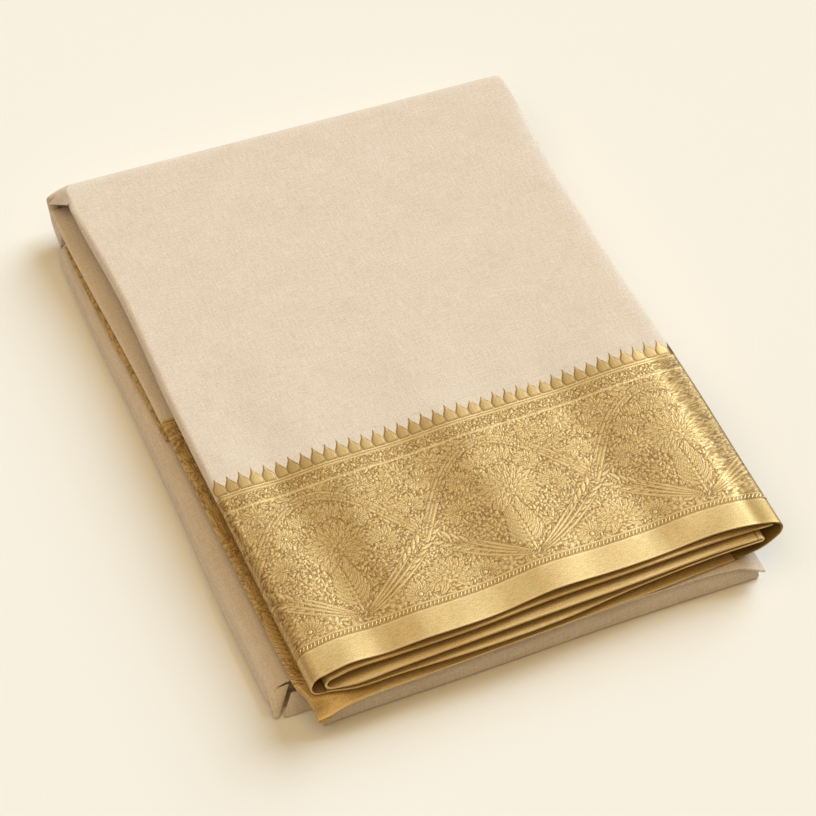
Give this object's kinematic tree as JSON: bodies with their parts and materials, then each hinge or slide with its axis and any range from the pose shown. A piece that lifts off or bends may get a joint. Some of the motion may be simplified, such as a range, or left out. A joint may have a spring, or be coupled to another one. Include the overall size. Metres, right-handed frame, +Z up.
{
  "type": "folded stole",
  "caption": "Long cotton and silk stole with a deep woven gold border, folded into a flat oblong packet and laid flat.",
  "frame": {"origin": "centre of the bounding box at the surface the folded cloth rests on", "axes": "+X along the bordered front edge to the right, +Y from the border to the back fold, +Z up"},
  "size_m": [0.192, 0.2688, 0.0215],
  "materials": {
    "ground_cloth": "fine plain weave of cotton and silk, matt with a faint sheen",
    "zari_border": "gold thread brocade, soft metallic lustre"
  },
  "bodies": {
    "root": {"top_field": "ground_cloth", "top_border": "zari_border", "border_fold_upper": "zari_border", "border_fold_lower": "zari_border", "under_border": "zari_border", "under_field": "ground_cloth", "inner_border": "zari_border", "folded_core": "ground_cloth", "back_turn": "ground_cloth", "lower_bundle": "ground_cloth", "front_turn": "ground_cloth", "front_return": "ground_cloth", "corner_flap": "ground_cloth", "corner_panel": "ground_cloth"}
  },
  "joints": []
}
